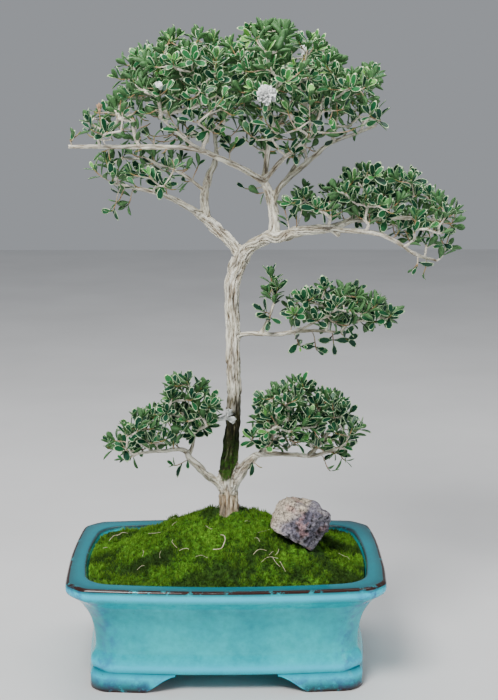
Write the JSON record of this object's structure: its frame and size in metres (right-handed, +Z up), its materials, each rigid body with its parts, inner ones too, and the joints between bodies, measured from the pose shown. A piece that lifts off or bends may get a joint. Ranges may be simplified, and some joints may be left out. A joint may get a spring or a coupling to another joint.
{
  "type": "serissa bonsai",
  "caption": "Serissa bonsai with a slim trunk, leafy pads and white blooms, on a moss mound with a lava stone, in a glazed rectangular footed pot.",
  "frame": {"origin": "centre of the overall box's underside, on the surface that the pot's feet stand on", "axes": "+Z up, +X to the viewer's right along the pot's long side, -Y towards the viewer"},
  "size_m": [0.336, 0.188, 0.5465],
  "materials": {
    "glazed_ceramic": "gloss turquoise glaze, brown where it breaks over edges",
    "soil": "damp granular potting soil",
    "moss": "matte tufted living moss",
    "stone": "matte pitted lava rock",
    "bark": "pale fissured bark, matte",
    "leaf": "satin dark green with a cream margin",
    "petal": "soft matte white",
    "dry_calyx": "dry papery brown",
    "screen": "matte black mesh"
  },
  "bodies": {
    "root": {"bloom_bud": "petal", "bloom_double": "petal", "bloom_drooping": "petal", "bloom_dry_calyx": "dry_calyx", "bloom_funnel": "petal", "drain_screen_left": "screen", "drain_screen_right": "screen", "moss": "moss", "pot": "glazed_ceramic", "soil": "soil", "spray_crown_left_1": "leaf", "spray_crown_left_2": "leaf", "spray_crown_left_3": "leaf", "spray_crown_left_4": "leaf", "spray_crown_left_5": "leaf", "spray_crown_left_6": "leaf", "spray_crown_mid_1": "leaf", "spray_crown_mid_2": "leaf", "spray_crown_mid_3": "leaf", "spray_crown_mid_4": "leaf", "spray_crown_mid_5": "leaf", "spray_crown_mid_6": "leaf", "spray_crown_right_1": "leaf", "spray_crown_right_2": "leaf", "spray_crown_right_3": "leaf", "spray_crown_right_4": "leaf", "spray_crown_right_5": "leaf", "spray_crown_right_6": "leaf", "spray_crown_top_1": "leaf", "spray_crown_top_2": "leaf", "spray_crown_top_3": "leaf", "spray_crown_top_4": "leaf", "spray_crown_top_5": "leaf", "spray_double_bloom": "leaf", "spray_funnel_bloom": "leaf", "spray_lower_left_1": "leaf", "spray_lower_left_2": "leaf", "spray_lower_left_3": "leaf", "spray_lower_left_4": "leaf", "spray_lower_right_1": "leaf", "spray_lower_right_2": "leaf", "spray_lower_right_3": "leaf", "spray_lower_right_4": "leaf", "spray_middle_right_1": "leaf", "spray_middle_right_2": "leaf", "spray_middle_right_3": "leaf", "spray_middle_right_4": "leaf", "spray_under_left_1": "leaf", "spray_under_left_2": "leaf", "spray_upper_right_1": "leaf", "spray_upper_right_2": "leaf", "spray_upper_right_3": "leaf", "spray_upper_right_4": "leaf", "spray_upper_right_5": "leaf", "spray_upper_right_6": "leaf", "spray_upper_right_7": "leaf", "spray_upper_right_8": "leaf", "stone": "stone", "trunk": "bark"}
  },
  "joints": []
}
